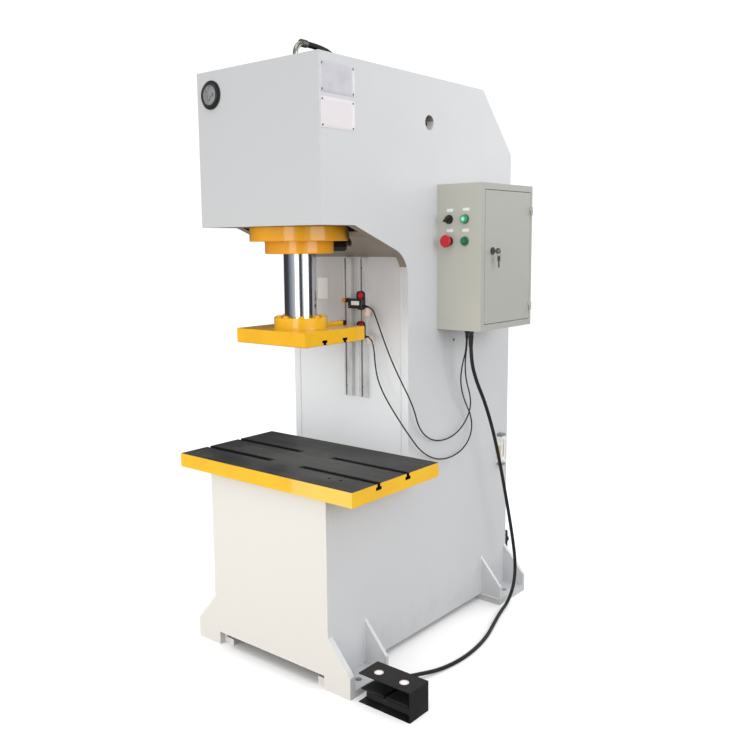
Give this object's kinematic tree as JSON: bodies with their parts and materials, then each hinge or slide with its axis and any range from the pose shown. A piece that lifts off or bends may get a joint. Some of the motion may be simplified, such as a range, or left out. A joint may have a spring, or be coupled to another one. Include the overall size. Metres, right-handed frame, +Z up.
{
  "type": "c-frame hydraulic press",
  "caption": "Floor-standing C-frame hydraulic press with a slotted table and platen, ram in an overhung head, side control box, end-of-stroke sensors and a cabled foot pedal.",
  "frame": {"origin": "on the floor, at the centre of the four anchor holes in the feet", "axes": "+Z up, -Y towards the operator's side (front), +X towards the side that carries the control box"},
  "size_m": [0.912, 1.0725, 1.9255],
  "materials": {
    "frame_paint": "semi-gloss",
    "yellow_paint": "gloss",
    "table_paint": "gloss rim, ground top",
    "cylinder_steel": "satin",
    "chrome_rod": "polished",
    "bright_steel": "brushed",
    "black_steel": "black oxide",
    "rail_aluminium": "anodised",
    "sensor_plastic": "matte",
    "red_plastic": "gloss",
    "black_plastic": "matte",
    "green_plastic": "gloss",
    "lamp_plastic": "translucent",
    "gauge_glass": "clear",
    "gauge_metal": "black enamel, pale dial",
    "needle_red": "matte",
    "box_paint": "fine texture",
    "panel_zinc": "zinc plated",
    "relay_plastic": "matte",
    "bezel_metal": "satin",
    "cable_rubber": "matte",
    "pedal_paint": "satin black",
    "tank_paint": "semi-gloss",
    "motor_paint": "semi-gloss",
    "key_steel": "nickel",
    "sight_body": "white with a clear tube"
  },
  "bodies": {
    "frame": {"side_plate_left": "frame_paint", "side_plate_right": "frame_paint", "head_front_plate": "frame_paint", "head_bottom_plate": "frame_paint", "throat_plate": "frame_paint", "top_plate": "frame_paint", "rear_plate": "frame_paint", "base_front_plate": "frame_paint", "base_top_plate": "frame_paint", "foot_brackets": "frame_paint", "rear_cover": "frame_paint", "table": "table_paint", "barrel": "cylinder_steel", "cylinder_cap": "cylinder_steel", "lock_ring": "yellow_paint", "gland": "yellow_paint", "steel_pipes": "bright_steel", "pressure_elbow": "black_steel", "switch_rails": "rail_aluminium", "upper_switch": "sensor_plastic", "lower_switch": "sensor_plastic", "switch_brackets": "rail_aluminium", "gauge_case": "gauge_metal", "gauge_glass": "gauge_glass", "box_shell": "box_paint", "box_panel": "panel_zinc", "box_relays": "relay_plastic", "control_bezels": "bezel_metal", "lamp": "lamp_plastic", "cable_glands": "black_plastic", "upper_switch_cable": "cable_rubber", "lower_switch_cable": "cable_rubber", "pedal_cable": "cable_rubber", "pressure_hose": "cable_rubber", "pedal_guard": "pedal_paint", "pedal_switch": "black_plastic", "oil_tank": "tank_paint", "motor": "motor_paint", "valve_shelf": "frame_paint", "valve_block": "black_steel", "sight_gauge": "sight_body", "drain_valve": "black_steel"},
    "ram": {"rod": "chrome_rod", "piston": "bright_steel", "ram_flange": "yellow_paint", "flange_screws": "black_steel", "platen": "yellow_paint", "striker": "yellow_paint"},
    "door": {"box_door": "box_paint"},
    "lock": {"door_lock": "key_steel"},
    "keys": {"key_ring": "key_steel"},
    "selector": {"selector_knob": "black_plastic"},
    "estop": {"estop_button": "red_plastic"},
    "start": {"start_button": "green_plastic"},
    "needle": {"gauge_needle": "needle_red"},
    "pedal_left": {"left_treadle": "pedal_paint"},
    "pedal_right": {"right_treadle": "pedal_paint"},
    "knob_upper": {"upper_knob": "red_plastic"},
    "knob_lower": {"lower_knob": "red_plastic"},
    "rotor": {"motor_shaft": "bright_steel"}
  },
  "joints": [
    {"name": "ram_slide", "type": "slide", "parent": "frame", "child": "ram", "axis": [0, 0, 1], "range_m": [-0.17, 0.185]},
    {"name": "door_hinge", "type": "hinge", "parent": "frame", "child": "door", "pos_m": [0.421, 0.3631, 1.258], "axis": [0, 0, 1], "range_deg": [0, 120]},
    {"name": "lock_turn", "type": "hinge", "parent": "door", "child": "lock", "pos_m": [0.417, 0.118, 1.287], "axis": [1, 0, 0], "range_deg": [-90, 0]},
    {"name": "key_ring_swing", "type": "hinge", "parent": "lock", "child": "keys", "pos_m": [0.441, 0.118, 1.287], "axis": [0, 1, 0], "range_deg": [-60, 20]},
    {"name": "selector_turn", "type": "hinge", "parent": "frame", "child": "selector", "pos_m": [0.296, 0.0517, 1.388], "axis": [0, 1, 0], "range_deg": [0, 90]},
    {"name": "estop_push", "type": "slide", "parent": "frame", "child": "estop", "axis": [0, 1, 0], "range_m": [0, 0.006]},
    {"name": "start_push", "type": "slide", "parent": "frame", "child": "start", "axis": [0, 1, 0], "range_m": [0, 0.004], "stiffness_N_per_m": 400, "springref_m": -0.004},
    {"name": "gauge_needle_turn", "type": "hinge", "parent": "frame", "child": "needle", "pos_m": [-0.187, -0.504, 1.7585], "axis": [0, 1, 0], "range_deg": [0, 270]},
    {"name": "left_treadle_press", "type": "hinge", "parent": "frame", "child": "pedal_left", "pos_m": [0.404, -0.4235, 0.032], "axis": [1, 0, 0], "range_deg": [0, 8], "stiffness_Nm_per_rad": 8, "springref_deg": -8.59},
    {"name": "right_treadle_press", "type": "hinge", "parent": "frame", "child": "pedal_right", "pos_m": [0.491, -0.4235, 0.032], "axis": [1, 0, 0], "range_deg": [0, 8], "stiffness_Nm_per_rad": 8, "springref_deg": -8.59},
    {"name": "upper_knob_turn", "type": "hinge", "parent": "frame", "child": "knob_upper", "pos_m": [0.072, -0.125, 1.147], "axis": [0, 1, 0], "range_deg": [-180, 0]},
    {"name": "lower_knob_turn", "type": "hinge", "parent": "frame", "child": "knob_lower", "pos_m": [0.072, -0.125, 1.049], "axis": [0, 1, 0], "range_deg": [-180, 0]},
    {"name": "motor_spin", "type": "hinge", "parent": "frame", "child": "rotor", "pos_m": [0, 0.313, 0.7], "axis": [0, 0, 1], "continuous": true}
  ]
}
